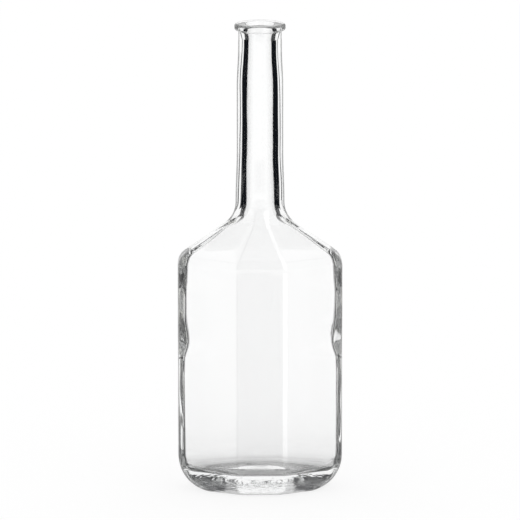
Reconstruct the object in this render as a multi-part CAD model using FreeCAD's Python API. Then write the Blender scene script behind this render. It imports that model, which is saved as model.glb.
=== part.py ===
"""Long-necked glass flask with an eight-sided body, as one hollow solid.

Millimetres, +Z up, +X across the wide front panel, the front towards -Y.
The origin is the centre of the footprint, on the surface the flask stands on.

Every level is one closed curve: the eight-sided plan of the body with rounded
corners, blended towards the circle of the neck. The outside and the inside
are each lofted through a stack of such curves, and the glass lies between
them. The finish, with its bead and mouth, is turned.
"""
import FreeCAD, Part
import os
from math import atan2, ceil, cos, hypot, pi, sin, sqrt, tan

# Overall sizes
HEIGHT = 312.0
BODY_WIDTH = 108.4
BODY_DEPTH = 62.0

# Plan of the body: the two flat panels between sharp corners, then the rounding
FRONT_PANEL = 31.6
SIDE_PANEL = 28.0
CORNER_RADIUS = 12.0

# Shoulder: the height where its slope would meet the upright walls unrounded,
# how far it climbs to the neck, and how far the two roundings reach
BODY_HEIGHT = 156.3
SHOULDER_RISE = 27.8
EDGE_BLEND_BELOW = 5.5
EDGE_BLEND_ABOVE = 3.2
FOOT_BLEND_BELOW = 5.5
FOOT_BLEND_ABOVE = 9.5

# Heel: the narrow sides roll under far more gently than the wide panels. The
# arcs would end a little below the ground, so they meet it at a low angle
SIDE_HEEL = 24.5
FRONT_HEEL = 12.5
HEEL_SINK = 1.2
FRONT_PANEL_TUCK = 5.0

# Neck: a straight middle between a tapered foot and a tapered top
NECK_FOOT_DIAMETER = 32.1
NECK_DIAMETER = 30.3
NECK_TOP_DIAMETER = 28.4
NECK_FOOT_TAPER = 34.0
NECK_TOP_TAPER = 27.0
NECK_TOP_STRAIGHT = 4.0
NECK_WALL = 6.5

# Finish: the turned top of the neck, a hair wider than the neck where the
# mould parts, with a bore that narrows from the mouth to the neck's
FINISH_HEIGHT = 11.0
MOUTH_BORE = 18.9
PARTING_STEP = 0.1
BORE_STEP = 0.05
BEAD_DIAMETER = 33.7
BEAD_HEIGHT = 4.4
BEAD_ROUNDING = 1.6
BEAD_COVE = 0.8
MOUTH_ROUNDING = 1.2

# Glass. The narrow sides carry a settle wave, a thick ring where the first
# glass to touch the mould chilled: pairs of height and thickness
FRONT_WALL = 3.4
SIDE_WALL = (
    (10.0, 5.8),
    (26.0, 4.4),
    (78.0, 4.1),
    (89.0, 4.4),
    (101.5, 7.0),
    (118.0, 5.6),
    (134.0, 5.4),
    (150.0, 6.0),
)

# Rounding inside the four upright edges of the narrow sides
INNER_EDGE_RADIUS = 6.0

# Floor: the narrow sides sweep into it more gently than the front and back walls
FLOOR_THICKNESS = 13.8
FRONT_FLOOR_FILLET = 1.5
SIDE_FLOOR_FILLET = 4.5

# Push-up: a shallow oval dome in the middle of the base, level at its rim
PUSH_UP_LENGTH = 44.0
PUSH_UP_WIDTH = 27.0
PUSH_UP_HEIGHT = 3.0
PUSH_UP_POINTS = 8

# Sampling of the curves: steps round each corner and along each flat, the share
# of its turn that a corner keeps on the neck circle, the level spacing, and the
# power by which the levels crowd towards the foot of the heel and of the floor
RIDGE_STEPS = 3
EDGE_STEPS = 5
FLAT_STEPS = 6
CORNER_SHARE = 0.6
HEEL_LEVELS = 10
FLOOR_LEVELS = 7
BEND_LEVELS = 5
LEVEL_STEP = 6.0
HEEL_CROWDING = 1.5
FLOOR_CROWDING = 2.0
LEVEL_TOLERANCE = 0.01

# Heights that follow from the sizes
NECK_FOOT = BODY_HEIGHT + SHOULDER_RISE
FINISH_BASE = HEIGHT - FINISH_HEIGHT


def smooth(t):
    """Runs from 0 to 1 with level ends."""
    t = min(max(t, 0.0), 1.0)
    return t * t * (3.0 - 2.0 * t)


def follow(pairs, z):
    """Value at height z on the smooth line through (height, value) pairs."""
    value = pairs[0][1]
    for (z0, v0), (z1, v1) in zip(pairs, pairs[1:]):
        value += (v1 - v0) * smooth((z - z0) / (z1 - z0))
    return value


def spread(start, end, count=0):
    """Heights after start up to end: this many, or as many as the spacing asks."""
    count = count or ceil((end - start) / LEVEL_STEP)
    return [start + (end - start) * k / count for k in range(1, count + 1)]


def tuck(radius, rise):
    """How far a quarter-round draws in at this rise above its foot."""
    if rise >= radius:
        return 0.0
    return radius - sqrt(radius * radius - (radius - rise) ** 2)


def crowded(height, count, power):
    """Heights from 0 up to this one, closest together at the foot."""
    return [height * (k / count) ** power for k in range(count + 1)]


def bend(z, corner, below, above):
    """Place from 0 to 1 along a rounding that starts below a corner and ends above it."""
    rise = max(z - corner + below, 0.0)
    return 2 * rise / (2 * below + sqrt(4 * below * below + 4 * (above - below) * rise))


def neck_share(z):
    """How far the plan has turned from the body, 0, to the neck, 1, at height z."""
    if z <= BODY_HEIGHT - EDGE_BLEND_BELOW:
        return 0.0
    if z <= BODY_HEIGHT + EDGE_BLEND_ABOVE:
        t = bend(z, BODY_HEIGHT, EDGE_BLEND_BELOW, EDGE_BLEND_ABOVE)
        return t * t * EDGE_BLEND_ABOVE / SHOULDER_RISE
    if z <= NECK_FOOT - FOOT_BLEND_BELOW:
        return (z - BODY_HEIGHT) / SHOULDER_RISE
    if z <= NECK_FOOT + FOOT_BLEND_ABOVE:
        t = bend(z, NECK_FOOT, FOOT_BLEND_BELOW, FOOT_BLEND_ABOVE)
        return 1.0 - (1 - t) ** 2 * FOOT_BLEND_BELOW / SHOULDER_RISE
    return 1.0


def neck_radius(z):
    """Outer radius of the neck at height z."""
    foot = NECK_FOOT + FOOT_BLEND_ABOVE
    top = FINISH_BASE - NECK_TOP_STRAIGHT
    pairs = (
        (foot, NECK_FOOT_DIAMETER),
        (foot + NECK_FOOT_TAPER, NECK_DIAMETER),
        (top - NECK_TOP_TAPER, NECK_DIAMETER),
        (top, NECK_TOP_DIAMETER),
    )
    return follow(pairs, z) / 2


def core_of_plan():
    """Half width, half depth and half flats of the plan drawn in by its corner radius."""
    ridge_turn = atan2(BODY_DEPTH - SIDE_PANEL, BODY_WIDTH - FRONT_PANEL)
    edge_turn = pi / 2 - ridge_turn
    flat_x = FRONT_PANEL / 2 - CORNER_RADIUS * tan(ridge_turn / 2)
    flat_y = SIDE_PANEL / 2 - CORNER_RADIUS * tan(edge_turn / 2)
    return BODY_WIDTH / 2 - CORNER_RADIUS, BODY_DEPTH / 2 - CORNER_RADIUS, flat_x, flat_y


def outer_plan(z):
    """Core and corner radii of the outside at height z, drawn in at the heel."""
    half_x, half_y, flat_x, flat_y = core_of_plan()
    side = tuck(SIDE_HEEL, z + HEEL_SINK)
    front = tuck(FRONT_HEEL, z + HEEL_SINK)
    off_radius = front / 2
    half_x -= side - off_radius
    half_y -= front - off_radius
    flat_x -= FRONT_PANEL_TUCK * side / SIDE_HEEL
    radius = CORNER_RADIUS - off_radius
    return half_x, half_y, flat_x, flat_y, radius, radius


def inner_plan(z):
    """Core and corner radii of the inside at height z, swept into the floor."""
    half_x, half_y, flat_x, flat_y, radius, edge_radius = outer_plan(z)
    side = tuck(SIDE_FLOOR_FILLET, z - FLOOR_THICKNESS)
    front = tuck(FRONT_FLOOR_FILLET, z - FLOOR_THICKNESS)
    half_x -= follow(SIDE_WALL, z) - FRONT_WALL
    half_y -= front - side
    return half_x, half_y, flat_x, flat_y, radius - FRONT_WALL - side, INNER_EDGE_RADIUS


def rounded_corners(half_x, half_y, flat_x, flat_y, radius, edge_radius):
    """Centre, radius, steps, first and last direction of the eight corners, anticlockwise."""
    edge_turn = atan2(half_x - flat_x, half_y - flat_y)
    out = radius - edge_radius
    edge_y = flat_y + out * tan(edge_turn / 2)
    right_back = [
        (half_x + out, edge_y, edge_radius, EDGE_STEPS, 0.0, edge_turn),
        (flat_x, half_y, radius, RIDGE_STEPS, edge_turn, pi / 2),
    ]
    left_back = [
        (-x, y, r, steps, pi - last, pi - first)
        for x, y, r, steps, first, last in reversed(right_back)]
    back = right_back + left_back
    front = [(-x, -y, r, steps, pi + first, pi + last) for x, y, r, steps, first, last in back]
    return back + front


def plan_points(*plan):
    """Points (x, y, angle) round the plan, with the angle each takes on the neck circle."""
    arcs = []
    for x, y, radius, steps, first, last in rounded_corners(*plan):
        turn = last - first
        arc = []
        for k in range(steps + 1):
            along = k / steps
            direction = first + turn * along
            angle = (first + last) / 2 + CORNER_SHARE * turn * (along - 0.5)
            arc.append((x + radius * cos(direction), y + radius * sin(direction), angle))
        arcs.append(arc)
    points = []
    for arc, following in zip(arcs, arcs[1:] + arcs[:1]):
        points += arc
        start = arc[-1]
        end = following[0]
        swing = (end[2] - start[2]) % (2 * pi)
        for k in range(1, FLAT_STEPS):
            t = (1 - cos(pi * k / FLAT_STEPS)) / 2
            x = start[0] + (end[0] - start[0]) * t
            y = start[1] + (end[1] - start[1]) * t
            points.append((x, y, start[2] + swing * t))
    return points


def curve_parameters(plan_at):
    """One spacing of the points for all levels of a side: half by distance, half by angle."""
    points = plan_points(*plan_at(BODY_HEIGHT))
    steps = []
    for (x0, y0, a0), (x1, y1, a1) in zip(points, points[1:] + points[:1]):
        steps.append((hypot(x1 - x0, y1 - y0), (a1 - a0) % (2 * pi)))
    girth = sum(distance for distance, angle in steps)
    parameters = [0.0]
    for distance, angle in steps:
        parameters.append(parameters[-1] + distance / girth / 2 + angle / (2 * pi) / 2)
    return parameters


def level_curve(z, plan_at, circle_radius):
    """Closed curve at height z between a side's plan and the neck's circle."""
    share = neck_share(z)
    points = []
    for x, y, angle in plan_points(*plan_at(z)):
        round_x = circle_radius * cos(angle)
        round_y = circle_radius * sin(angle)
        points.append(FreeCAD.Vector(x + (round_x - x) * share, y + (round_y - y) * share, z))
    curve = Part.BSplineCurve()
    curve.interpolate(
        Points=points, PeriodicFlag=True, Parameters=curve_parameters(plan_at))
    return curve


def skin(curves):
    """Solid inside a smooth surface through closed level curves that share their knots."""
    rows = [curve.getPoles() for curve in curves]
    climb = [0.0]
    for row, above in zip(rows, rows[1:]):
        gaps = [pole.distanceToPoint(other) for pole, other in zip(row, above)]
        climb.append(climb[-1] + max(gaps))
    uprights = []
    for column in zip(*rows):
        upright = Part.BSplineCurve()
        upright.interpolate(Points=list(column), Parameters=climb)
        uprights.append(upright)
    surface = Part.BSplineSurface()
    surface.buildFromPolesMultsKnots(
        [upright.getPoles() for upright in uprights],
        curves[0].getMultiplicities(), uprights[0].getMultiplicities(),
        curves[0].getKnots(), uprights[0].getKnots(),
        True, False, curves[0].Degree, uprights[0].Degree)
    wall = surface.toShape()
    level_edges = [edge for edge in wall.Edges if edge.BoundBox.ZLength < LEVEL_TOLERANCE]
    caps = [Part.Face(Part.Wire([edge])) for edge in level_edges]
    shell = Part.makeShell([wall] + caps)
    shell.sewShape()
    return Part.makeSolid(shell)


def upper_heights(start):
    """Levels above start, up to the finish, closest together at the roundings."""
    edge_start = BODY_HEIGHT - EDGE_BLEND_BELOW
    edge_end = BODY_HEIGHT + EDGE_BLEND_ABOVE
    foot_start = NECK_FOOT - FOOT_BLEND_BELOW
    foot_end = NECK_FOOT + FOOT_BLEND_ABOVE
    heights = spread(start, edge_start)
    heights += spread(edge_start, edge_end, BEND_LEVELS)
    heights += spread(edge_end, foot_start)
    heights += spread(foot_start, foot_end, BEND_LEVELS)
    return heights + spread(foot_end, FINISH_BASE)


def outside():
    """Solid of the outer surface, from the ground to the finish."""
    heel_top = max(SIDE_HEEL, FRONT_HEEL) - HEEL_SINK
    heights = crowded(heel_top, HEEL_LEVELS, HEEL_CROWDING) + upper_heights(heel_top)
    return skin([level_curve(z, outer_plan, neck_radius(z)) for z in heights])


def inside():
    """Solid of the space that the glass encloses, from the floor to the finish."""
    sweep = max(FRONT_FLOOR_FILLET, SIDE_FLOOR_FILLET)
    rises = crowded(sweep, FLOOR_LEVELS, FLOOR_CROWDING)
    heights = [FLOOR_THICKNESS + rise for rise in rises]
    heights += upper_heights(FLOOR_THICKNESS + sweep)
    return skin([level_curve(z, inner_plan, neck_radius(z) - NECK_WALL) for z in heights])


def push_up():
    """Oval dome that lifts the middle of the base off the ground."""
    half_width = PUSH_UP_WIDTH / 2
    points = []
    for k in range(PUSH_UP_POINTS + 1):
        out = k / PUSH_UP_POINTS
        points.append(FreeCAD.Vector(half_width * out, 0, PUSH_UP_HEIGHT * (1 - out * out) ** 2))
    level = FreeCAD.Vector(1, 0, 0)
    dome = Part.BSplineCurve()
    dome.interpolate(Points=points, InitialTangent=level, FinalTangent=level)
    foot = FreeCAD.Vector(0, 0, 0)
    edges = [
        dome.toShape(),
        Part.makeLine(points[-1], foot),
        Part.makeLine(foot, points[0]),
    ]
    round_dome = Part.Face(Part.Wire(edges)).revolve(foot, FreeCAD.Vector(0, 0, 1), 360)
    stretch = FreeCAD.Matrix()
    stretch.scale(PUSH_UP_LENGTH / PUSH_UP_WIDTH, 1, 1)
    return round_dome.transformGeometry(stretch)


def quarter_arc(x, z, radius, first):
    """Quarter circle about (x, z) in the XZ plane, anticlockwise from this direction."""
    def at(direction):
        return FreeCAD.Vector(x + radius * cos(direction), 0, z + radius * sin(direction))
    return Part.Arc(at(first), at(first + pi / 4), at(first + pi / 2)).toShape()


def finish():
    """Turned top of the neck: bore, rounded mouth and bead."""
    mouth_bore = MOUTH_BORE / 2
    bore = NECK_TOP_DIAMETER / 2 - NECK_WALL - BORE_STEP
    neck = NECK_TOP_DIAMETER / 2 + PARTING_STEP
    bead = BEAD_DIAMETER / 2
    bead_foot = HEIGHT - BEAD_HEIGHT
    cove = quarter_arc(neck + BEAD_COVE, bead_foot - BEAD_COVE, BEAD_COVE, pi / 2)
    under = quarter_arc(bead - BEAD_ROUNDING, bead_foot + BEAD_ROUNDING, BEAD_ROUNDING, -pi / 2)
    over = quarter_arc(bead - BEAD_ROUNDING, HEIGHT - BEAD_ROUNDING, BEAD_ROUNDING, 0)
    mouth = quarter_arc(
        mouth_bore + MOUTH_ROUNDING, HEIGHT - MOUTH_ROUNDING, MOUTH_ROUNDING, pi / 2)
    bottom_in = FreeCAD.Vector(bore, 0, FINISH_BASE)
    bottom_out = FreeCAD.Vector(neck, 0, FINISH_BASE)
    edges = [
        Part.makeLine(bottom_in, bottom_out),
        Part.makeLine(bottom_out, cove.Vertexes[-1].Point),
        cove,
        Part.makeLine(cove.Vertexes[0].Point, under.Vertexes[0].Point),
        under,
        Part.makeLine(under.Vertexes[-1].Point, over.Vertexes[0].Point),
        over,
        Part.makeLine(over.Vertexes[-1].Point, mouth.Vertexes[0].Point),
        mouth,
        Part.makeLine(mouth.Vertexes[-1].Point, bottom_in),
    ]
    profile = Part.Face(Part.Wire(edges))
    return profile.revolve(FreeCAD.Vector(0, 0, 0), FreeCAD.Vector(0, 0, 1), 360)


def bottle():
    """The whole flask."""
    glass = outside().cut(inside()).cut(push_up())
    return glass.fuse(finish()).Solids[0]


os.makedirs("parts", exist_ok=True)
bottle().exportStep("parts/bottle.step")
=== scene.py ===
from math import atan2, ceil, cos, pi, radians, sin, sqrt, tan

import bmesh
import bpy
from bpy.props import FloatProperty, FloatVectorProperty, IntProperty, PointerProperty
from bpy.types import Operator, Panel, PropertyGroup
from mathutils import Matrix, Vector, noise


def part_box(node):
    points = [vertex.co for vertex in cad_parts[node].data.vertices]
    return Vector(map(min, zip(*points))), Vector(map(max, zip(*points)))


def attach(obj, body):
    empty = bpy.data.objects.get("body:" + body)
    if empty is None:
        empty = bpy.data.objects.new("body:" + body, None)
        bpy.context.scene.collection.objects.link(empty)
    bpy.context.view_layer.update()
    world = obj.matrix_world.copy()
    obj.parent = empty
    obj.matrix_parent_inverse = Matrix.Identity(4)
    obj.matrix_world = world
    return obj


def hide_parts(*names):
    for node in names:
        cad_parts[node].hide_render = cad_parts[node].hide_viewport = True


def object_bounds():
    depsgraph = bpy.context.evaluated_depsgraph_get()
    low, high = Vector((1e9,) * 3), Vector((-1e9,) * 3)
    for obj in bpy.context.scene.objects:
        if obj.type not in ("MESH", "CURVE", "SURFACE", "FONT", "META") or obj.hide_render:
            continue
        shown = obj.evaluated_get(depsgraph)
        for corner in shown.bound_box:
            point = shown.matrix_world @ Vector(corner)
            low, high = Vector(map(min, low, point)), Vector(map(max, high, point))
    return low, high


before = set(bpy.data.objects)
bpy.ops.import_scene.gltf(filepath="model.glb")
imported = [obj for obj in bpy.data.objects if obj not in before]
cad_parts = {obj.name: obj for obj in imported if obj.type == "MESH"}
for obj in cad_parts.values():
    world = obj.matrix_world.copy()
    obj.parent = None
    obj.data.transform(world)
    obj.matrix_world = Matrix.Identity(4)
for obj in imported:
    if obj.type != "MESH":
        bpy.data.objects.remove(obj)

bl_info = {
    "name": "Glass flask",
    "version": (1, 0, 0),
    "blender": (4, 5, 0),
    "location": "3D View > Sidebar > Flask",
    "description": "Blows a long-necked, eight-sided glass flask and sets it on a light table",
    "category": "Mesh",
}

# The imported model, before anything is added to it
CAD_LOW, CAD_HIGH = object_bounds()
FLASK_LOW, FLASK_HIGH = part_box("bottle")

# Swells of the uneven glass: how far they are drawn out upwards, and the finer ones among them
SWELL_STRETCH = 2.2
FINE_SWELL_SHARE = 0.5
FINE_SWELL_SCALE = 2.1
FINE_SWELL_SHIFT = Vector((7.0, 3.0, 5.0))
# How closely the extra unevenness keeps to the narrow sides
SIDE_FOCUS = 4
# How the rows of faces crowd towards the foot of the heel and of the inner walls
HEEL_CROWDING = 1.5
FLOOR_CROWDING = 2
# The stipple's pits: their middle depth and its change, as shares of the given depth
PIT_MIDDLE = 0.7
PIT_CHANGE = 0.6


class BodySizes(PropertyGroup):
    """The eight-sided body, its shoulder and its heel."""

    width: FloatProperty(
        name="Width", description="Across the two narrow sides",
        default=FLASK_HIGH.x - FLASK_LOW.x, unit="LENGTH")
    depth: FloatProperty(
        name="Depth", description="Across the two wide panels",
        default=FLASK_HIGH.y - FLASK_LOW.y, unit="LENGTH")
    front_panel: FloatProperty(
        name="Wide panel", description="Flat of a wide panel, between sharp corners",
        default=0.0316, unit="LENGTH")
    side_panel: FloatProperty(
        name="Narrow panel", description="Flat of a narrow side, between sharp corners",
        default=0.0280, unit="LENGTH")
    corner_radius: FloatProperty(
        name="Corner radius", description="Rounding of the eight upright corners",
        default=0.0120, unit="LENGTH")
    height: FloatProperty(
        name="Body height", description="Where the shoulder's slope would meet the walls",
        default=0.1563, unit="LENGTH")
    shoulder_rise: FloatProperty(
        name="Shoulder rise", description="From that height up to the foot of the neck",
        default=0.0278, unit="LENGTH")
    edge_below: FloatProperty(
        name="Edge rounding below", description="Reach of the shoulder's edge down the wall",
        default=0.0055, unit="LENGTH")
    edge_above: FloatProperty(
        name="Edge rounding above", description="Reach of the shoulder's edge up the slope",
        default=0.0032, unit="LENGTH")
    foot_below: FloatProperty(
        name="Neck foot below", description="Reach of the neck's fillet down the slope",
        default=0.0055, unit="LENGTH")
    foot_above: FloatProperty(
        name="Neck foot above", description="Reach of the neck's fillet up the neck",
        default=0.0095, unit="LENGTH")
    side_heel: FloatProperty(
        name="Side heel", description="Radius by which the narrow sides roll under",
        default=0.0245, unit="LENGTH")
    front_heel: FloatProperty(
        name="Front heel", description="Radius by which the wide panels roll under",
        default=0.0125, unit="LENGTH")
    heel_sink: FloatProperty(
        name="Heel sink", description="How far below the ground the heel's arcs would end",
        default=0.0012, unit="LENGTH")
    panel_tuck: FloatProperty(
        name="Panel tuck", description="How far the wide panel narrows down the heel",
        default=0.0050, unit="LENGTH")


class NeckSizes(PropertyGroup):
    """The neck and its finish."""

    top: FloatProperty(
        name="Overall height", description="From the ground to the rim",
        default=FLASK_HIGH.z - FLASK_LOW.z, unit="LENGTH")
    foot_diameter: FloatProperty(
        name="Foot diameter", description="Neck just above its fillet",
        default=0.0321, unit="LENGTH")
    diameter: FloatProperty(
        name="Diameter", description="Straight middle of the neck",
        default=0.0303, unit="LENGTH")
    top_diameter: FloatProperty(
        name="Top diameter", description="Neck just under the finish",
        default=0.0284, unit="LENGTH")
    foot_taper: FloatProperty(
        name="Foot taper", description="Height over which the foot narrows",
        default=0.0340, unit="LENGTH")
    top_taper: FloatProperty(
        name="Top taper", description="Height over which the top narrows",
        default=0.0270, unit="LENGTH")
    top_straight: FloatProperty(
        name="Straight under the finish", description="Upright stretch below the finish",
        default=0.0040, unit="LENGTH")
    wall: FloatProperty(
        name="Wall", description="Glass between the neck and its bore",
        default=0.0065, unit="LENGTH")
    mouth_bore: FloatProperty(
        name="Mouth bore", description="Inner diameter at the mouth, from where it narrows",
        default=0.0189, unit="LENGTH")
    finish_height: FloatProperty(
        name="Finish height", description="Turned top of the neck",
        default=0.0110, unit="LENGTH")
    bead_diameter: FloatProperty(
        name="Bead diameter", description="Rounded ring at the mouth",
        default=0.0337, unit="LENGTH")
    bead_height: FloatProperty(
        name="Bead height", description="Rounded ring at the mouth",
        default=0.0044, unit="LENGTH")
    bead_rounding: FloatProperty(
        name="Bead rounding", description="Radius of the bead's edges",
        default=0.0016, unit="LENGTH")
    bead_cove: FloatProperty(
        name="Bead cove", description="Hollow fillet under the bead",
        default=0.0008, unit="LENGTH")
    mouth_rounding: FloatProperty(
        name="Mouth rounding", description="Radius of the rim's inner edge",
        default=0.0012, unit="LENGTH")


class GlassSizes(PropertyGroup):
    """How thick the glass is, and how uneven."""

    front_wall: FloatProperty(
        name="Wide wall", description="Glass of the wide and the sloping panels",
        default=0.0034, unit="LENGTH")
    side_wall_heights: FloatVectorProperty(
        name="Narrow wall heights", description="Where the narrow side's thickness is given",
        size=8, unit="LENGTH",
        default=(0.010, 0.026, 0.078, 0.089, 0.1015, 0.118, 0.134, 0.150))
    side_wall_thickness: FloatVectorProperty(
        name="Narrow wall thickness", description="Glass of the narrow sides at those heights",
        size=8, unit="LENGTH",
        default=(0.0058, 0.0044, 0.0041, 0.0044, 0.0070, 0.0056, 0.0054, 0.0060))
    inner_edge: FloatProperty(
        name="Inner edge", description="Rounding inside the four edges of the narrow sides",
        default=0.0028, unit="LENGTH")
    floor: FloatProperty(
        name="Floor", description="Height of the inner floor",
        default=0.0138, unit="LENGTH")
    front_fillet: FloatProperty(
        name="Wide floor fillet", description="Sweep of the wide walls into the floor",
        default=0.0015, unit="LENGTH")
    side_fillet: FloatProperty(
        name="Narrow floor fillet", description="Sweep of the narrow walls into the floor",
        default=0.0045, unit="LENGTH")
    floor_crown: FloatProperty(
        name="Floor crown", description="How far the middle of the floor rises",
        default=0.0008, unit="LENGTH")
    push_up_length: FloatProperty(
        name="Push-up length", description="Oval dome under the base, along the width",
        default=0.0440, unit="LENGTH")
    push_up_width: FloatProperty(
        name="Push-up width", description="Oval dome under the base, along the depth",
        default=0.0270, unit="LENGTH")
    push_up_height: FloatProperty(
        name="Push-up height", description="Oval dome under the base",
        default=0.0030, unit="LENGTH")
    stipple_depth: FloatProperty(
        name="Stipple depth", description="Pits in the ring that the flask stands on",
        default=0.00035, unit="LENGTH")
    stipple_patch: FloatProperty(
        name="Stipple patch", description="Distance over which the depth of the pits changes",
        default=0.0045, unit="LENGTH")
    seam_height: FloatProperty(
        name="Seam height", description="Ridge where the two mould halves met",
        default=0.00008, unit="LENGTH")
    inner_wave: FloatProperty(
        name="Inner wave", description="Unevenness of the inner surface",
        default=0.00022, unit="LENGTH")
    outer_wave: FloatProperty(
        name="Outer wave", description="Unevenness of the outer surface",
        default=0.00004, unit="LENGTH")
    side_wave: FloatProperty(
        name="Side wave", description="Extra unevenness inside the narrow sides",
        default=0.00045, unit="LENGTH")
    side_sag: FloatProperty(
        name="Side sag", description="Extra unevenness outside the narrow sides",
        default=0.00010, unit="LENGTH")
    floor_wave: FloatProperty(
        name="Floor wave", description="Unevenness of the inner floor",
        default=0.00045, unit="LENGTH")
    wave_size: FloatProperty(
        name="Wave size", description="Distance between the swells of the uneven glass",
        default=0.022, unit="LENGTH")


class MeshDetail(PropertyGroup):
    """How finely the skin of the glass is divided."""

    corner_steps: IntProperty(
        name="Corner steps", description="Faces round each upright corner", default=9)
    flat_steps: IntProperty(
        name="Flat steps", description="Faces along each panel between corners", default=10)
    corner_share: FloatProperty(
        name="Corner share", description="Share of its turn that a corner keeps on the neck",
        default=0.6, subtype="FACTOR")
    seam_width: FloatProperty(
        name="Seam width", description="Half the width of the mould seam at its foot",
        default=0.00045, unit="LENGTH")
    level_step: FloatProperty(
        name="Level step", description="Height of a row of faces on the plain walls",
        default=0.0026, unit="LENGTH")
    bend_steps: IntProperty(
        name="Bend steps", description="Rows of faces up each rounding", default=14)
    heel_steps: IntProperty(
        name="Heel steps", description="Rows of faces up the heel", default=30)
    arc_steps: IntProperty(
        name="Arc steps", description="Rows of faces round each small arc of the finish",
        default=8)
    base_rings: IntProperty(
        name="Base rings", description="Rows of faces across the standing ring", default=14)
    dome_rings: IntProperty(
        name="Dome rings", description="Rows of faces across the push-up", default=12)
    floor_rings: IntProperty(
        name="Floor rings", description="Rows of faces across the inner floor", default=22)


class GlassLook(PropertyGroup):
    """Colour and surface of the glass."""

    colour: FloatVectorProperty(
        name="Colour", description="Clear flint glass", subtype="COLOR", size=4,
        default=(0.999, 1.0, 1.0, 1.0))
    refraction: FloatProperty(
        name="Index of refraction", description="Soda-lime glass", default=1.52)
    # Painted shade: from here to rim_upright, the glass's colour runs to a dark grey where its
    # surface turns away from the view and stands upright, so the outline reads dark
    painted_rim_shade: FloatVectorProperty(
        name="Rim colour", description="Colour that the glass takes on where it turns away",
        subtype="COLOR", size=4, default=(0.06, 0.06, 0.06, 1.0))
    rim_start: FloatProperty(
        name="Rim start", description="How far the glass turns away before the rim colour",
        default=0.66, subtype="FACTOR")
    rim_end: FloatProperty(
        name="Rim end", description="How far it turns away where the rim colour is full",
        default=0.72, subtype="FACTOR")
    rim_level: FloatProperty(
        name="Rim level", description="How level glass is that takes on no rim colour",
        default=0.8, subtype="FACTOR")
    rim_upright: FloatProperty(
        name="Rim upright", description="How level glass may be and take on all of it",
        default=0.6, subtype="FACTOR")
    stipple_length: FloatProperty(
        name="Stipple length", description="Length of the marks on the lower heel",
        default=0.0045, unit="LENGTH")
    stipple_rise: FloatProperty(
        name="Stipple rise", description="Height of the marks on the lower heel",
        default=0.0008, unit="LENGTH")
    stipple_bump: FloatProperty(
        name="Stipple bump", description="Depth of the marks on the lower heel",
        default=0.00024, unit="LENGTH")
    stipple_top: FloatProperty(
        name="Stipple top", description="Height where the marks end",
        default=0.0110, unit="LENGTH")
    stipple_full: FloatProperty(
        name="Stipple full", description="Height up to which the marks are at their deepest",
        default=0.0055, unit="LENGTH")
    depth_colour: FloatVectorProperty(
        name="Depth colour", description="Colour that thick glass takes on",
        subtype="COLOR", size=4, default=(0.82, 0.86, 0.86, 1.0))
    depth_density: FloatProperty(
        name="Depth density", description="How fast thick glass darkens, per metre",
        default=2.0)
    ripple_size: FloatProperty(
        name="Ripple size", description="Distance between the fine flow ripples",
        default=0.006, unit="LENGTH")
    ripple_stretch: FloatProperty(
        name="Ripple stretch", description="How many times longer than wide the ripples are",
        default=2.5)
    ripple_height: FloatProperty(
        name="Ripple height", description="Height of the fine flow ripples",
        default=0.00002, unit="LENGTH")


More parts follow.
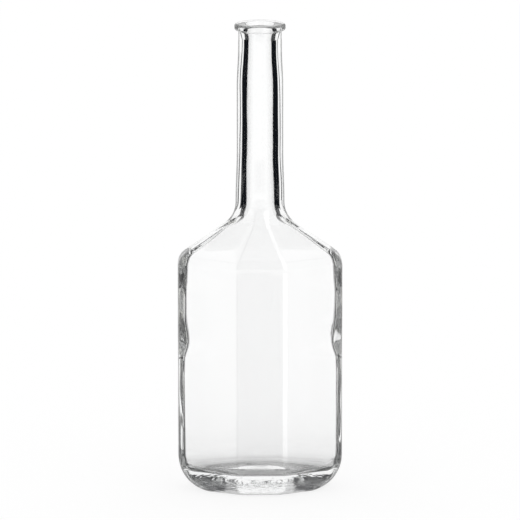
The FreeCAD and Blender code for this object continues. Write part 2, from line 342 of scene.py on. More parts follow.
class StageLook(PropertyGroup):
    """The light table with its painted glow, the lights with the painted studio in them, and the
    camera.
    """

    floor_colour: FloatVectorProperty(
        name="Floor colour", description="Matt white of the light table",
        subtype="COLOR", size=4, default=(0.9, 0.9, 0.9, 1.0))
    floor_roughness: FloatProperty(
        name="Floor roughness", description="Matt surface of the light table",
        default=0.9, subtype="FACTOR")
    floor_size: FloatProperty(
        name="Floor size", description="Side of the square floor",
        default=20.0, unit="LENGTH")
    floor_gap: FloatProperty(
        name="Floor gap", description="How far the floor lies below the standing ring",
        default=0.0001, unit="LENGTH")
    light: FloatProperty(
        name="Light", description="Strength of the white tent round the flask",
        default=1.0)
    floor_light: FloatProperty(
        name="Floor light", description="Strength of the tent as the floor receives it",
        default=1.12)
    # Painted light: the floor glows for the camera alone, which lights nothing else and washes
    # out most of its cast shadow
    glow: FloatProperty(
        name="Floor glow", description="Share of the floor's own light that fills its shadows",
        default=0.85, subtype="FACTOR")
    # Painted studio: the cards, room, gap, post and strip lamp set below exist only as colour
    # that the table and the white tent show to light which the glass passed, turned or mirrored;
    # they are painted reflections and painted dark edges in the glass
    card_start: FloatProperty(
        name="Card start", description="Heading where the side cards begin, from straight back",
        default=radians(27), subtype="ANGLE")
    far_card_start: FloatProperty(
        name="Far card start", description="Heading where the cards begin far from the flask",
        default=radians(10), subtype="ANGLE")
    card_end: FloatProperty(
        name="Card end", description="Heading where the cards end, from straight back",
        default=radians(110), subtype="ANGLE")
    card_fade: FloatProperty(
        name="Card fade", description="Width of the cards' soft edges",
        default=radians(8), subtype="ANGLE")
    # Painted dark cards, seen only through and in the glass
    painted_grey_card: FloatVectorProperty(
        name="Grey card", description="Near cards, for light that the glass turned many times",
        subtype="COLOR", size=4, default=(0.60, 0.60, 0.56, 1.0))
    painted_black_card: FloatVectorProperty(
        name="Black card", description="Far cards, and near ones for light turned a few times",
        subtype="COLOR", size=4, default=(0.006, 0.007, 0.009, 1.0))
    card_top: FloatProperty(
        name="Card top", description="Elevation above which the cards end",
        default=radians(32), subtype="ANGLE")
    few_turns: FloatProperty(
        name="Few turns", description="Reflections up to which light meets the black card",
        default=2.0)
    many_turns: FloatProperty(
        name="Many turns", description="Reflections from which light meets the grey card",
        default=3.0)
    black_base: FloatProperty(
        name="Black base", description="Distance up to which the cards on the table are black",
        default=0.10, unit="LENGTH")
    base_end: FloatProperty(
        name="Base end", description="Distance where that black has given way to the grey",
        default=0.45, unit="LENGTH")
    near_edge: FloatProperty(
        name="Near edge", description="Distance at which the near cards give way to the far",
        default=0.80, unit="LENGTH")
    far_edge: FloatProperty(
        name="Far edge", description="Distance from which there are only far cards",
        default=0.90, unit="LENGTH")
    mirror_start: FloatProperty(
        name="Mirror start", description="Heading where the outside mirrors the far cards",
        default=radians(76), subtype="ANGLE")
    mirror_end: FloatProperty(
        name="Mirror end", description="Heading where it no longer mirrors them",
        default=radians(124), subtype="ANGLE")
    gap_low: FloatProperty(
        name="Gap low", description="Elevation where the dark gap over the table begins",
        default=radians(20), subtype="ANGLE")
    gap_high: FloatProperty(
        name="Gap high", description="Elevation where the dark gap ends",
        default=radians(28), subtype="ANGLE")
    gap_spread: FloatProperty(
        name="Gap spread", description="Further reach of the gap for light that passes through",
        default=radians(12), subtype="ANGLE")
    spread_start: FloatProperty(
        name="Spread start", description="Heading where the gap begins to reach further",
        default=radians(8), subtype="ANGLE")
    spread_full: FloatProperty(
        name="Spread full", description="Heading where the gap has its full spread",
        default=radians(22), subtype="ANGLE")
    gap_fade: FloatProperty(
        name="Gap fade", description="Softness of the gap's ends, as the sine of an elevation",
        default=0.05)
    # Painted dark gap and painted reflection of a dim room, seen only through and in the glass
    painted_gap_colour: FloatVectorProperty(
        name="Gap colour", description="Dark gap between the tent's wall and its roof",
        subtype="COLOR", size=4, default=(0.04, 0.04, 0.045, 1.0))
    painted_room_colour: FloatVectorProperty(
        name="Room colour", description="Dim room in front of the flask, which the panels mirror",
        subtype="COLOR", size=4, default=(0.12, 0.12, 0.13, 1.0))
    room_half: FloatProperty(
        name="Room half width", description="Heading from straight forward where the room ends",
        default=radians(75), subtype="ANGLE")
    room_fade: FloatProperty(
        name="Room fade", description="Width of the room's soft edges",
        default=radians(70), subtype="ANGLE")
    room_detail: FloatProperty(
        name="Room detail", description="How finely the room is broken up", default=3.0)
    room_low: FloatProperty(
        name="Room low", description="Noise up to which the room is left out", default=0.2)
    room_high: FloatProperty(
        name="Room high", description="Noise from which the room shows fully", default=0.5)
    post_start: FloatProperty(
        name="Post start", description="Heading on the left where a black post begins",
        default=radians(148), subtype="ANGLE")
    post_end: FloatProperty(
        name="Post end", description="Heading on the left where the black post ends",
        default=radians(166), subtype="ANGLE")
    post_fade: FloatProperty(
        name="Post fade", description="Width of the soft edges of the post and the lamp",
        default=radians(5), subtype="ANGLE")
    strip_start: FloatProperty(
        name="Lamp start", description="Heading on the right where a strip lamp begins",
        default=radians(138), subtype="ANGLE")
    strip_end: FloatProperty(
        name="Lamp end", description="Heading on the right where the strip lamp ends",
        default=radians(170), subtype="ANGLE")
    # Painted highlight: the strip lamp shows only where the outside of the glass mirrors it, and
    # lights nothing
    painted_strip_glint: FloatVectorProperty(
        name="Lamp colour", description="Brightness of the strip lamp",
        subtype="COLOR", size=4, default=(3.0, 3.0, 3.0, 1.0))
    lamp_near: FloatProperty(
        name="Lamp near", description="Distance on the table at which lamp and post begin",
        default=0.07, unit="LENGTH")
    lamp_full: FloatProperty(
        name="Lamp full", description="Distance on the table from which lamp and post show fully",
        default=0.15, unit="LENGTH")
    bounces: IntProperty(
        name="Bounces", description="How often light may be turned inside the glass",
        default=24)
    camera_distance: FloatProperty(
        name="Camera distance", description="From the flask to the lens",
        default=3.8, unit="LENGTH")
    camera_elevation: FloatProperty(
        name="Camera elevation", description="Height of the view above the horizon",
        default=radians(11.7), subtype="ANGLE")
    camera_azimuth: FloatProperty(
        name="Camera azimuth", description="Turn of the view round the flask",
        default=radians(-1.5), subtype="ANGLE")
    aim_height: FloatProperty(
        name="Aim height", description="Point on the flask's axis at the centre of the view",
        default=0.1538, unit="LENGTH")
    view_height: FloatProperty(
        name="View height", description="Height of the square view at the flask",
        default=0.3432, unit="LENGTH")


SIZE_GROUPS = {
    "flask_body": BodySizes,
    "flask_neck": NeckSizes,
    "flask_glass": GlassSizes,
    "flask_detail": MeshDetail,
    "flask_look": GlassLook,
    "flask_stage": StageLook,
}


def smooth(t):
    """Runs from 0 to 1 with level ends."""
    t = min(max(t, 0.0), 1.0)
    return t * t * (3.0 - 2.0 * t)


def follow(pairs, z):
    """Value at height z on the smooth line through (height, value) pairs."""
    value = pairs[0][1]
    for (z0, v0), (z1, v1) in zip(pairs, pairs[1:]):
        value += (v1 - v0) * smooth((z - z0) / (z1 - z0))
    return value


def spread(start, end, count):
    """Heights after start up to end, evenly spaced."""
    return [start + (end - start) * k / count for k in range(1, count + 1)]


def tuck(radius, rise):
    """How far a quarter-round draws in at this rise above its foot."""
    if rise >= radius:
        return 0.0
    return radius - sqrt(radius * radius - (radius - rise) ** 2)


def bend(z, corner, below, above):
    """Place from 0 to 1 along a rounding that starts below a corner and ends above it."""
    rise = max(z - corner + below, 0.0)
    return 2 * rise / (2 * below + sqrt(4 * below * below + 4 * (above - below) * rise))


def swell(point, size):
    """Slow unevenness from -1 to 1, drawn out upwards as the glass flowed."""
    stretched = Vector((point.x, point.y, point.z / SWELL_STRETCH)) / size
    fine = noise.noise(FINE_SWELL_SCALE * stretched + FINE_SWELL_SHIFT)
    return noise.noise(stretched) + FINE_SWELL_SHARE * fine


class Flask:
    """Where the outer and the inner surface lie at each height, as rings of points."""

    def __init__(self, scene):
        self.body = scene.flask_body
        self.neck = scene.flask_neck
        self.glass = scene.flask_glass
        self.detail = scene.flask_detail
        self.neck_foot = self.body.height + self.body.shoulder_rise
        self.finish_base = self.neck.top - self.neck.finish_height
        self.side_wall = list(zip(self.glass.side_wall_heights, self.glass.side_wall_thickness))
        plan = self.outer_plan(self.body.height)
        self.angles = [angle for x, y, angle, seam in self.plan_points(plan)]

    def core_of_plan(self):
        """Half width, half depth, half flats and corner radius of the body's plan."""
        body = self.body
        radius = body.corner_radius
        ridge_turn = atan2(body.depth - body.side_panel, body.width - body.front_panel)
        flat_x = body.front_panel / 2 - radius * tan(ridge_turn / 2)
        flat_y = body.side_panel / 2 - radius * tan((pi / 2 - ridge_turn) / 2)
        return body.width / 2 - radius, body.depth / 2 - radius, flat_x, flat_y, radius

    def outer_plan(self, z):
        """Plan of the outside at height z, drawn in at the heel, with the radii of its corners.

        The front heel comes half off the core and half off the corners.
        """
        half_x, half_y, flat_x, flat_y, radius = self.core_of_plan()
        side = tuck(self.body.side_heel, z + self.body.heel_sink)
        front = tuck(self.body.front_heel, z + self.body.heel_sink)
        half_x -= side - front / 2
        half_y -= front / 2
        flat_x -= self.body.panel_tuck * side / self.body.side_heel
        radius -= front / 2
        return half_x, half_y, flat_x, flat_y, radius, radius

    def inner_plan(self, z):
        """Plan of the inside at height z, swept into the floor."""
        half_x, half_y, flat_x, flat_y, radius = self.outer_plan(z)[:-1]
        side = tuck(self.glass.side_fillet, z - self.glass.floor)
        front = tuck(self.glass.front_fillet, z - self.glass.floor)
        half_x -= follow(self.side_wall, z) - self.glass.front_wall
        half_y -= front - side
        radius -= self.glass.front_wall + side
        return half_x, half_y, flat_x, flat_y, radius, self.glass.inner_edge

    def neck_share(self, z):
        """How far the plan has turned from the body, 0, to the neck, 1, at height z."""
        body = self.body
        if z <= body.height - body.edge_below:
            return 0.0
        if z <= body.height + body.edge_above:
            t = bend(z, body.height, body.edge_below, body.edge_above)
            return t * t * body.edge_above / body.shoulder_rise
        if z <= self.neck_foot - body.foot_below:
            return (z - body.height) / body.shoulder_rise
        if z <= self.neck_foot + body.foot_above:
            t = bend(z, self.neck_foot, body.foot_below, body.foot_above)
            return 1.0 - (1 - t) ** 2 * body.foot_below / body.shoulder_rise
        return 1.0

    def neck_radius(self, z):
        """Outer radius of the neck at height z."""
        neck = self.neck
        foot = self.neck_foot + self.body.foot_above
        top = self.finish_base - neck.top_straight
        pairs = (
            (foot, neck.foot_diameter),
            (foot + neck.foot_taper, neck.diameter),
            (top - neck.top_taper, neck.diameter),
            (top, neck.top_diameter),
        )
        return follow(pairs, z) / 2

    def bore_radius(self, z):
        """Inner radius of the neck at height z."""
        return self.neck_radius(z) - self.neck.wall

    def flat_stops(self, has_seam, length):
        """Places from 0 to 1 along a flat, with two close to the middle for a seam."""
        steps = self.detail.flat_steps
        stops = [k / steps for k in range(1, steps)]
        if has_seam:
            beside = self.detail.seam_width / length
            stops += [0.5 - beside, 0.5 + beside]
        return sorted(stops)

    def plan_points(self, plan):
        """Points (x, y, neck angle, on the seam) round a plan, anticlockwise."""
        half_x, half_y, flat_x, flat_y, radius, edge_radius = plan
        edge_turn = atan2(half_x - flat_x, half_y - flat_y)
        out = radius - edge_radius
        edge_y = flat_y + out * tan(edge_turn / 2)
        right_back = [
            (half_x + out, edge_y, edge_radius, 0.0, edge_turn),
            (flat_x, half_y, radius, edge_turn, pi / 2),
        ]
        left_back = [
            (-x, y, r, pi - end, pi - start) for x, y, r, start, end in reversed(right_back)]
        back = right_back + left_back
        corners = back + [(-x, -y, r, pi + start, pi + end) for x, y, r, start, end in back]
        arcs = []
        steps = self.detail.corner_steps
        for x, y, r, first, last in corners:
            turn = last - first
            arc = []
            for k in range(steps + 1):
                direction = first + turn * k / steps
                angle = (first + last) / 2 + self.detail.corner_share * turn * (k / steps - 0.5)
                arc.append((x + r * cos(direction), y + r * sin(direction), angle))
            arcs.append(arc)
        points = []
        for arc, following in zip(arcs, arcs[1:] + arcs[:1]):
            points += [(x, y, angle, False) for x, y, angle in arc]
            start = arc[-1]
            end = following[0]
            swing = (end[2] - start[2]) % (2 * pi)
            is_side = abs(abs(start[0]) - abs(end[0])) < self.detail.seam_width
            is_side = is_side and start[0] * end[0] > 0
            for t in self.flat_stops(is_side, self.body.side_panel):
                x = start[0] + (end[0] - start[0]) * t
                y = start[1] + (end[1] - start[1]) * t
                points.append((x, y, start[2] + swing * t, is_side and t == 0.5))
        return points

    def ring(self, z, plan, circle_radius, wave, side_wave, seam_height):
        """Ring of points at height z between a plan and the neck's circle."""
        share = self.neck_share(z)
        ring = []
        for x, y, angle, on_seam in self.plan_points(plan):
            x += (circle_radius * cos(angle) - x) * share
            y += (circle_radius * sin(angle) - y) * share
            point = Vector((x, y, z))
            outwards = Vector((cos(angle), sin(angle), 0.0))
            sideways = cos(angle) ** SIDE_FOCUS * (1 - share)
            lift = (wave * (1 + share) + side_wave * sideways) * swell(
                point, self.glass.wave_size)
            if on_seam:
                lift += seam_height
            ring.append(point + outwards * lift)
        return ring

    def outer_ring(self, z):
        """Outer surface at height z."""
        calm = smooth(z / self.body.front_heel)
        return self.ring(z, self.outer_plan(z), self.neck_radius(z),
                         self.glass.outer_wave * calm, self.glass.side_sag * calm,
                         self.glass.seam_height * calm)

    def inner_ring(self, z):
        """Inner surface at height z."""
        return self.ring(z, self.inner_plan(z), self.bore_radius(z),
                         self.glass.inner_wave, self.glass.side_wave, 0.0)

    def circle(self, radius, z):
        """Ring of the finish."""
        return [Vector((radius * cos(angle), radius * sin(angle), z)) for angle in self.angles]

    def dome_rings(self):
        """Rings of the push-up, from its middle out to its rim."""
        half_length = self.glass.push_up_length / 2
        half_width = self.glass.push_up_width / 2
        height = self.glass.push_up_height
        foot = self.outer_ring(0.0)
        turns = [atan2(point.y / half_width, point.x / half_length) for point in foot]
        rings = []
        for k in range(1, self.detail.dome_rings + 1):
            share = k / self.detail.dome_rings
            z = height * (1 - share * share) ** 2
            rings.append([
                Vector((half_length * share * cos(turn), half_width * share * sin(turn), z))
                for turn in turns])
        return rings

    def standing_rings(self):
        """Rings across the stippled surface that the flask stands on, to its outer edge."""
        rim = self.dome_rings()[-1]
        foot = self.outer_ring(0.0)
        count = self.detail.base_rings
        rings = []
        for k in range(1, count + 1):
            share = k / count
            ring = []
            for column, (inner, outer) in enumerate(zip(rim, foot)):
                point = inner.lerp(outer, share)
                pitted = (column // 2 + k) % 2 and k < count
                if pitted:
                    patch = noise.noise(point / self.glass.stipple_patch)
                    uneven = PIT_MIDDLE + PIT_CHANGE * patch
                    point.z = self.glass.stipple_depth * uneven
                ring.append(point)
            rings.append(ring)
        return rings

    def plain_heights(self, start, end):
        """Levels after start up to end on a plain wall."""
        return spread(start, end, ceil((end - start) / self.detail.level_step))

    def upper_heights(self, start):
        """Levels above start, up to the finish, closest together at the roundings."""
        body = self.body
        edge_start = body.height - body.edge_below
        edge_end = body.height + body.edge_above
        foot_start = self.neck_foot - body.foot_below
        foot_end = self.neck_foot + body.foot_above
        heights = self.plain_heights(start, edge_start)
        heights += spread(edge_start, edge_end, self.detail.bend_steps)
        heights += self.plain_heights(edge_end, foot_start)
        heights += spread(foot_start, foot_end, self.detail.bend_steps)
        return heights + self.plain_heights(foot_end, self.finish_base)

    def outer_heights(self):
        """Levels of the outer surface above the ground."""
        heel_top = max(self.body.side_heel, self.body.front_heel) - self.body.heel_sink
        count = self.detail.heel_steps
        heel = [heel_top * (k / count) ** HEEL_CROWDING for k in range(1, count + 1)]
        return heel + self.upper_heights(heel_top)

    def inner_heights(self):
        """Levels of the inner surface, from the finish down to the floor."""
        sweep = max(self.glass.front_fillet, self.glass.side_fillet)
        count = self.detail.bend_steps
        fillet = [
            self.glass.floor + sweep * (k / count) ** FLOOR_CROWDING for k in range(count + 1)]
        return list(reversed(fillet + self.upper_heights(fillet[-1])))

    def finish_profile(self):
        """Radius and height down the turned finish, from the neck over the bead to the bore."""
        neck = self.neck
        steps = self.detail.arc_steps
        wall = neck.top_diameter / 2
        bead = neck.bead_diameter / 2
        bore = neck.mouth_bore / 2
        bead_foot = neck.top - neck.bead_height
        rounding = neck.bead_rounding
        cove = neck.bead_cove
        mouth = neck.mouth_rounding
        profile = [(wall, z) for z in spread(self.finish_base, bead_foot - cove, steps)]
        profile += arc(wall + cove, bead_foot - cove, cove, pi, pi / 2, steps)
        profile += arc(bead - rounding, bead_foot + rounding, rounding, -pi / 2, 0.0, steps)
        profile += arc(bead - rounding, neck.top - rounding, rounding, 0.0, pi / 2, steps)
        profile += arc(bore + mouth, neck.top - mouth, mouth, pi / 2, pi, steps)
        narrow = wall - neck.wall
        radii = spread(bore, narrow, steps)
        profile += list(zip(radii, spread(neck.top - mouth, self.finish_base, steps)))[:-1]
        return profile

    def floor_rings(self):
        """Rings across the inner floor, from the walls to just short of the middle."""
        edge = self.inner_ring(self.glass.floor)
        count = self.detail.floor_rings
        rings = []
        for k in range(1, count):
            share = 1 - k / count
            ring = []
            for point in edge:
                x = point.x * share
                y = point.y * share
                rise = self.glass.floor_crown * smooth(1 - share)
                rise += self.glass.floor_wave * smooth(1 - share) * swell(
                    Vector((x, y, 0.0)), self.glass.wave_size)
                ring.append(Vector((x, y, self.glass.floor + rise)))
            rings.append(ring)
        return rings


def arc(centre, height, radius, first, last, steps):
    """Points after the first of an arc in a turned profile."""
    return [
        (centre + radius * cos(turn), height + radius * sin(turn))
        for turn in spread(first, last, steps)]


class Skin:
    """A closed skin grown ring by ring: each new ring is extruded from the one before."""

    def __init__(self, first_ring, middle):
        self.mesh = bmesh.new()
        self.column = self.mesh.verts.layers.int.new("column")
        made = bmesh.ops.create_circle(
            self.mesh, cap_ends=True, cap_tris=True, segments=len(first_ring), radius=1.0)
        centre = min(made["verts"], key=lambda vert: vert.co.length)
        round_verts = [vert for vert in made["verts"] if vert is not centre]
        round_verts.sort(key=lambda vert: atan2(vert.co.y, vert.co.x) % (2 * pi))
        centre.co = middle
        for number, vert in enumerate(round_verts):
            vert[self.column] = number
            vert.co = first_ring[number]
        self.edge = [edge for edge in self.mesh.edges if edge.is_boundary]

    def grow(self, ring):
        """Extrudes the open edge to the points of the next ring."""
        grown = bmesh.ops.extrude_edge_only(self.mesh, edges=self.edge)["geom"]
        for vert in grown:
            if isinstance(vert, bmesh.types.BMVert):
                vert.co = ring[vert[self.column]]
        self.edge = [
            edge for edge in grown
            if isinstance(edge, bmesh.types.BMEdge) and edge.is_boundary]

    def close(self, middle):
        """Draws the open edge together in one point."""
        grown = bmesh.ops.extrude_edge_only(self.mesh, edges=self.edge)["geom"]
        last = [vert for vert in grown if isinstance(vert, bmesh.types.BMVert)]
        bmesh.ops.pointmerge(self.mesh, verts=last, merge_co=middle)

    def finish(self, name):
        """The skin as an object, smooth and facing outwards."""
        bmesh.ops.recalc_face_normals(self.mesh, faces=self.mesh.faces)
        for face in self.mesh.faces:
            face.smooth = True
        data = bpy.data.meshes.new(name)
        self.mesh.to_mesh(data)
        self.mesh.free()
        made = bpy.data.objects.new(name, data)
        bpy.context.scene.collection.objects.link(made)
        return made


def blow_flask(scene):
    """The whole flask as one closed skin of glass, outside, finish, inside and base."""
    flask = Flask(scene)
    dome = flask.dome_rings()
    skin = Skin(dome[0], Vector((0.0, 0.0, flask.glass.push_up_height)))
    for ring in dome[1:] + flask.standing_rings():
        skin.grow(ring)
    for z in flask.outer_heights():
        skin.grow(flask.outer_ring(z))
    for radius, z in flask.finish_profile():
        skin.grow(flask.circle(radius, z))
    for z in flask.inner_heights():
        skin.grow(flask.inner_ring(z))
    for ring in flask.floor_rings():
        skin.grow(ring)
    skin.close(Vector((0.0, 0.0, flask.glass.floor + flask.glass.floor_crown)))
    return skin.finish("glass_flask")


def node(tree, kind, **settings):
    """A shader node of this kind with these settings."""
    made = tree.nodes.new(kind)
    for key, value in settings.items():
        setattr(made, key, value)
    return made


def feed(tree, value, socket):
    """Links a socket, or sets a plain value."""
    if isinstance(value, bpy.types.NodeSocket):
        tree.links.new(value, socket)
    else:
        socket.default_value = value


def worked_out(tree, operation, *values):
    """Output of a Math node on these values."""
    made = node(tree, "ShaderNodeMath", operation=operation)
    for value, socket in zip(values, made.inputs):
        feed(tree, value, socket)
    return made.outputs[0]


def product(tree, result, *others):
    """All the values multiplied."""
    for other in others:
        result = worked_out(tree, "MULTIPLY", result, other)
    return result


def largest(tree, result, *others):
    """The largest of the values."""
    for other in others:
        result = worked_out(tree, "MAXIMUM", result, other)
    return result


def rest_of(tree, share):
    """What a share leaves of the whole."""
    return worked_out(tree, "SUBTRACT", 1.0, share)


def ramp(tree, value, start, end):
    """Runs from 0 to 1, with level ends, as a value runs from start to end."""
    made = node(tree, "ShaderNodeMapRange", interpolation_type="SMOOTHSTEP")
    for given, socket in zip((value, start, end, 0.0, 1.0), made.inputs):
        feed(tree, given, socket)
    return made.outputs["Result"]


def sector(tree, value, start, end, fade):
    """Is 1 while a value lies between start and end, with soft ends, else 0."""
    enters = ramp(tree, value, start, start + fade)
    leaves = ramp(tree, value, end, end - fade)
    return product(tree, enters, leaves)


def blend_of(tree, share, first, second):
    """Colour that runs from the first to the second as the share runs from 0 to 1."""
    made = node(tree, "ShaderNodeMix", data_type="RGBA")
    sockets = [socket for socket in made.inputs if socket.enabled]
    for given, socket in zip((share, first, second), sockets):
        feed(tree, given, socket)
    return next(socket for socket in made.outputs if socket.enabled)


def parts_of(tree, vector):
    """The outputs X, Y and Z of a vector."""
    made = node(tree, "ShaderNodeSeparateXYZ")
    tree.links.new(vector, made.inputs[0])
    return made.outputs


def scaled(tree, vector, scale):
    """A vector with its three parts scaled."""
    made = node(tree, "ShaderNodeMapping")
    tree.links.new(vector, made.inputs["Vector"])
    made.inputs["Scale"].default_value = scale
    return made.outputs["Vector"]


def noise_of(tree, vector, scale, detail):
    """A noise along a vector."""
    made = node(tree, "ShaderNodeTexNoise")
    tree.links.new(vector, made.inputs["Vector"])
    made.inputs["Scale"].default_value = scale
    made.inputs["Detail"].default_value = detail
    return made.outputs["Fac"]


def bump_of(tree, height, distance):
    """A Bump node that lifts the surface by distance where the height is 1."""
    made = node(tree, "ShaderNodeBump")
    tree.links.new(height, made.inputs["Height"])
    made.inputs["Distance"].default_value = distance
    return made


def glass_material(look):
    """Clear glass, a little grey where it is thick, with painted shade that darkens it where it
    turns away at a rim.

    Its flow left fine ripples, and the mould left drawn-out marks on the lower heel.
    """
    made = bpy.data.materials.new("clear_glass")
    made.use_nodes = True
    tree = made.node_tree
    shader = tree.nodes["Principled BSDF"]
    shader.inputs["Metallic"].default_value = 0.0
    shader.inputs["Roughness"].default_value = 0.0
    shader.inputs["IOR"].default_value = look.refraction
    shader.inputs["Transmission Weight"].default_value = 1.0
    surface = node(tree, "ShaderNodeNewGeometry")
    level = worked_out(tree, "ABSOLUTE", parts_of(tree, surface.outputs["Normal"])["Z"])
    away = node(tree, "ShaderNodeLayerWeight").outputs["Facing"]
    # Painted shade: the base colour darkens towards the rim colour where the glass turns away
    # from the view, on upright and sloping surfaces
    rim = product(
        tree, ramp(tree, away, look.rim_start, look.rim_end),
        ramp(tree, level, look.rim_level, look.rim_upright))
    tree.links.new(
        blend_of(tree, rim, look.colour, look.painted_rim_shade), shader.inputs["Base Color"])
    place = node(tree, "ShaderNodeTexCoord").outputs["Object"]
    flow = scaled(tree, place, (1.0, 1.0, 1.0 / look.ripple_stretch))
    ripples = bump_of(
        tree, noise_of(tree, flow, 1.0 / look.ripple_size, 2.0), look.ripple_height)
    drawn = scaled(tree, place, (
        1.0 / look.stipple_length, 1.0 / look.stipple_length, 1.0 / look.stipple_rise))
    low = ramp(tree, parts_of(tree, place)["Z"], look.stipple_top, look.stipple_full)
    marks = product(tree, noise_of(tree, drawn, 1.0, 1.0), low)
    stipple = bump_of(tree, marks, look.stipple_bump)
    tree.links.new(ripples.outputs["Normal"], stipple.inputs["Normal"])
    tree.links.new(stipple.outputs["Normal"], shader.inputs["Normal"])
    depth = node(tree, "ShaderNodeVolumeAbsorption")
    depth.inputs["Color"].default_value = look.depth_colour
    depth.inputs["Density"].default_value = look.depth_density
    tree.links.new(depth.outputs["Volume"], tree.nodes["Material Output"].inputs["Volume"])
    return made


def studio(tree, stage, heading, distance):
    """Colour of the painted studio, and how much of it shows in place of the white tent.

    heading is the direction in which a ray leaves the flask and distance is how far off it
    meets the studio. Only light that the glass passed, turned or mirrored shows the studio,
    so its cards, room, gap, post and strip lamp are painted reflections and painted dark edges
    in the glass; no such things stand in the scene. The camera and the matt table see the
    white tent alone.
    """
    parts = parts_of(tree, heading)
    signed = worked_out(tree, "ARCTAN2", parts["X"], parts["Y"])
    turn = worked_out(tree, "ABSOLUTE", signed)
    far = ramp(tree, distance, stage.near_edge, stage.far_edge)
    near = rest_of(tree, far)
    path = node(tree, "ShaderNodeLightPath")
    often = ramp(tree, path.outputs["Glossy Depth"], stage.few_turns, stage.many_turns)
    turned = worked_out(tree, "MINIMUM", path.outputs["Glossy Depth"], 1.0)
    entered = worked_out(tree, "MINIMUM", path.outputs["Transmission Depth"], 1.0)
    sharp = rest_of(tree, path.outputs["Is Diffuse Ray"])

    # Painted cards on both sides: dark bands painted for light that was turned inside the glass
    near_painted_cards = sector(tree, turn, stage.card_start, stage.card_end, stage.card_fade)
    far_painted_cards = product(
        tree, sector(tree, turn, stage.far_card_start, stage.card_end, stage.card_fade), far)
    under_top = ramp(
        tree, parts["Z"], sin(stage.card_top + stage.card_fade), sin(stage.card_top))
    cards = product(tree, largest(tree, near_painted_cards, far_painted_cards), under_top)
    off_base = ramp(tree, distance, stage.black_base, stage.base_end)
    colour = blend_of(tree, often, stage.painted_black_card, stage.painted_grey_card)
    colour = blend_of(tree, off_base, stage.painted_black_card, colour)
    colour = blend_of(tree, far, colour, stage.painted_black_card)

    # Painted reflection of a dim room in front of the flask, which such light also meets
    room_start = pi - stage.room_half
    way = node(tree, "ShaderNodeVectorMath", operation="NORMALIZE")
    tree.links.new(heading, way.inputs[0])
    broken = noise_of(tree, way.outputs["Vector"], stage.room_detail, 2.0)
    room = product(
        tree, ramp(tree, turn, room_start, room_start + stage.room_fade), near,
        ramp(tree, broken, stage.room_low, stage.room_high))
    colour = blend_of(tree, room, colour, stage.painted_room_colour)

    # Painted dark gap under the roof, also for light that only passed through the glass
    gap = sector(
        tree, parts["Z"], sin(stage.gap_low), sin(stage.gap_high), stage.gap_fade)
    wide_painted_gap = sector(
        tree, parts["Z"], sin(stage.gap_low - stage.gap_spread),
        sin(stage.gap_high + stage.gap_spread), stage.gap_fade)
    narrow = largest(tree, turned, ramp(tree, turn, stage.spread_full, stage.spread_start))
    gap = worked_out(
        tree, "ADD", product(tree, wide_painted_gap, rest_of(tree, narrow)), product(tree, gap, narrow))
    colour = blend_of(tree, gap, colour, stage.painted_gap_colour)
    # Painted shade: the painted cards, room and far black only darken light that the glass turned
    dark = product(tree, largest(tree, cards, room, product(tree, often, far)), turned)
    share = product(tree, largest(tree, dark, gap), entered, sharp)

    # Painted reflections of far cards, a black post and a strip lamp, which the outside of the
    # glass mirrors; the lamp lights nothing
    outside = product(tree, turned, rest_of(tree, entered))
    mirrored = sector(tree, turn, stage.mirror_start, stage.mirror_end, stage.card_fade)
    share = largest(tree, share, product(tree, mirrored, far, outside))
    reach = ramp(tree, distance, stage.lamp_near, stage.lamp_full)
    painted_lamp_share = product(tree, outside, near, sharp, reach)
    for start, end, tone in (
            (-stage.post_end, -stage.post_start, stage.painted_black_card),
            (stage.strip_start, stage.strip_end, stage.painted_strip_glint)):
        strip = product(
            tree, painted_lamp_share, sector(tree, signed, start, end, stage.post_fade))
        colour = blend_of(tree, strip, colour, tone)
        share = largest(tree, share, strip)
    return colour, share, path


def tent(scene, stage):
    """A white tent round the flask, plain for the camera and the table, which shows the painted
    studio to light that the glass passed, turned or mirrored.
    """
    world = bpy.data.worlds.new("white_tent")
    world.cycles.sampling_method = "NONE"
    scene.world = world
    world.use_nodes = True
    tree = world.node_tree
    sky = tree.nodes["Background"]
    place = node(tree, "ShaderNodeTexCoord")
    colour, share, path = studio(tree, stage, place.outputs["Generated"], stage.near_edge)
    white = (1.0, 1.0, 1.0, 1.0)
    tree.links.new(blend_of(tree, share, white, colour), sky.inputs["Color"])
    extra = product(tree, path.outputs["Is Diffuse Ray"], stage.floor_light - stage.light)
    tree.links.new(worked_out(tree, "ADD", extra, stage.light), sky.inputs["Strength"])


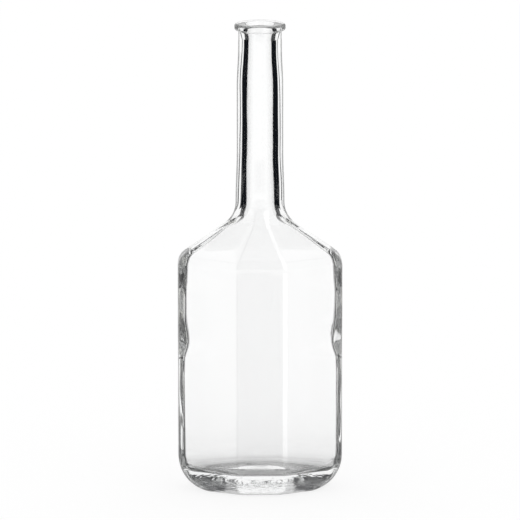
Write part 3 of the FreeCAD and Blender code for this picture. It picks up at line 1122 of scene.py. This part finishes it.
def floor_material(stage):
    """Matt white table with painted light: it glows for the camera alone, which lights nothing
    and washes out its cast shadow, and it shows the painted studio that stands on it.
    """
    made = bpy.data.materials.new("light_table")
    made.use_nodes = True
    tree = made.node_tree
    shader = tree.nodes["Principled BSDF"]
    shader.inputs["Base Color"].default_value = stage.floor_colour
    shader.inputs["Roughness"].default_value = stage.floor_roughness
    shader.inputs["Specular IOR Level"].default_value = 0.0
    place = node(tree, "ShaderNodeTexCoord").outputs["Object"]
    distance = node(tree, "ShaderNodeVectorMath", operation="LENGTH")
    tree.links.new(place, distance.inputs[0])
    colour, share, path = studio(tree, stage, place, distance.outputs["Value"])
    # Painted studio on the table: emission in the studio's colour, shown only to light that the
    # glass passed, turned or mirrored
    cards = node(tree, "ShaderNodeEmission")
    tree.links.new(colour, cards.inputs["Color"])
    # Painted light: a glow that only camera rays see, filling the floor's cast shadow
    glow = node(tree, "ShaderNodeEmission")
    painted_glow_share = product(tree, path.outputs["Is Camera Ray"], stage.glow)
    surface = shader.outputs[0]
    for added, amount in ((cards, share), (glow, painted_glow_share)):
        mixed = node(tree, "ShaderNodeMixShader")
        tree.links.new(amount, mixed.inputs["Fac"])
        tree.links.new(surface, mixed.inputs[1])
        tree.links.new(added.outputs[0], mixed.inputs[2])
        surface = mixed.outputs[0]
    tree.links.new(surface, tree.nodes["Material Output"].inputs["Surface"])
    return made


def lay_floor(scene, stage):
    """The square white floor."""
    mesh = bmesh.new()
    bmesh.ops.create_grid(mesh, x_segments=1, y_segments=1, size=stage.floor_size / 2)
    bmesh.ops.translate(mesh, verts=mesh.verts, vec=(0.0, 0.0, CAD_LOW.z - stage.floor_gap))
    data = bpy.data.meshes.new("light_table")
    mesh.to_mesh(data)
    mesh.free()
    data.materials.append(floor_material(stage))
    floor = bpy.data.objects.new("light_table", data)
    scene.collection.objects.link(floor)


def set_camera(scene, stage):
    """A long lens that looks a little down on the flask."""
    lens = bpy.data.cameras.new("camera")
    lens.lens = lens.sensor_width * stage.camera_distance / stage.view_height
    camera = bpy.data.objects.new("camera", lens)
    scene.collection.objects.link(camera)
    level = cos(stage.camera_elevation)
    back = Vector((
        sin(stage.camera_azimuth) * level,
        -cos(stage.camera_azimuth) * level,
        sin(stage.camera_elevation)))
    camera.location = Vector((0.0, 0.0, stage.aim_height)) + back * stage.camera_distance
    camera.rotation_euler = (-back).to_track_quat("-Z", "Y").to_euler()
    scene.camera = camera


class FLASK_OT_glass(Operator):
    """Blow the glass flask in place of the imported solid"""

    bl_idname = "flask.glass"
    bl_label = "Glass flask"

    def execute(self, context):
        scene = context.scene
        flask = blow_flask(scene)
        flask.data.materials.append(glass_material(scene.flask_look))
        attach(flask, "root")
        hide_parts("bottle")
        return {"FINISHED"}


class FLASK_OT_stage(Operator):
    """Set up the light table with its painted glow, the white tent with its painted studio, and
    the camera
    """

    bl_idname = "flask.stage"
    bl_label = "Stage"

    def execute(self, context):
        scene = context.scene
        stage = scene.flask_stage
        lay_floor(scene, stage)
        tent(scene, stage)
        set_camera(scene, stage)
        scene.view_settings.view_transform = "Standard"
        scene.cycles.max_bounces = stage.bounces
        scene.cycles.transmission_bounces = stage.bounces
        scene.cycles.glossy_bounces = stage.bounces
        return {"FINISHED"}


class FLASK_PT_sidebar(Panel):
    """Sizes, colours and steps of the flask"""

    bl_idname = "FLASK_PT_sidebar"
    bl_label = "Glass flask"
    bl_space_type = "VIEW_3D"
    bl_region_type = "UI"
    bl_category = "Flask"

    def draw(self, context):
        column = self.layout.column()
        for operator in OPERATORS:
            column.operator(operator.bl_idname)
        for name in SIZE_GROUPS:
            group = getattr(context.scene, name)
            box = self.layout.box()
            for key in group.bl_rna.properties.keys():
                if key not in ("rna_type", "name"):
                    box.prop(group, key)


OPERATORS = (FLASK_OT_glass, FLASK_OT_stage)
CLASSES = (*SIZE_GROUPS.values(), *OPERATORS, FLASK_PT_sidebar)


def register():
    """Makes the sizes, operators and panel known to Blender."""
    for added in CLASSES:
        bpy.utils.register_class(added)
    for name, group in SIZE_GROUPS.items():
        setattr(bpy.types.Scene, name, PointerProperty(type=group))


def unregister():
    """Takes them away again."""
    for name in SIZE_GROUPS:
        delattr(bpy.types.Scene, name)
    for added in reversed(CLASSES):
        bpy.utils.unregister_class(added)


def main():
    """Makes every piece in order."""
    register()
    bpy.ops.flask.glass()
    bpy.ops.flask.stage()


if __name__ == "__main__":
    main()
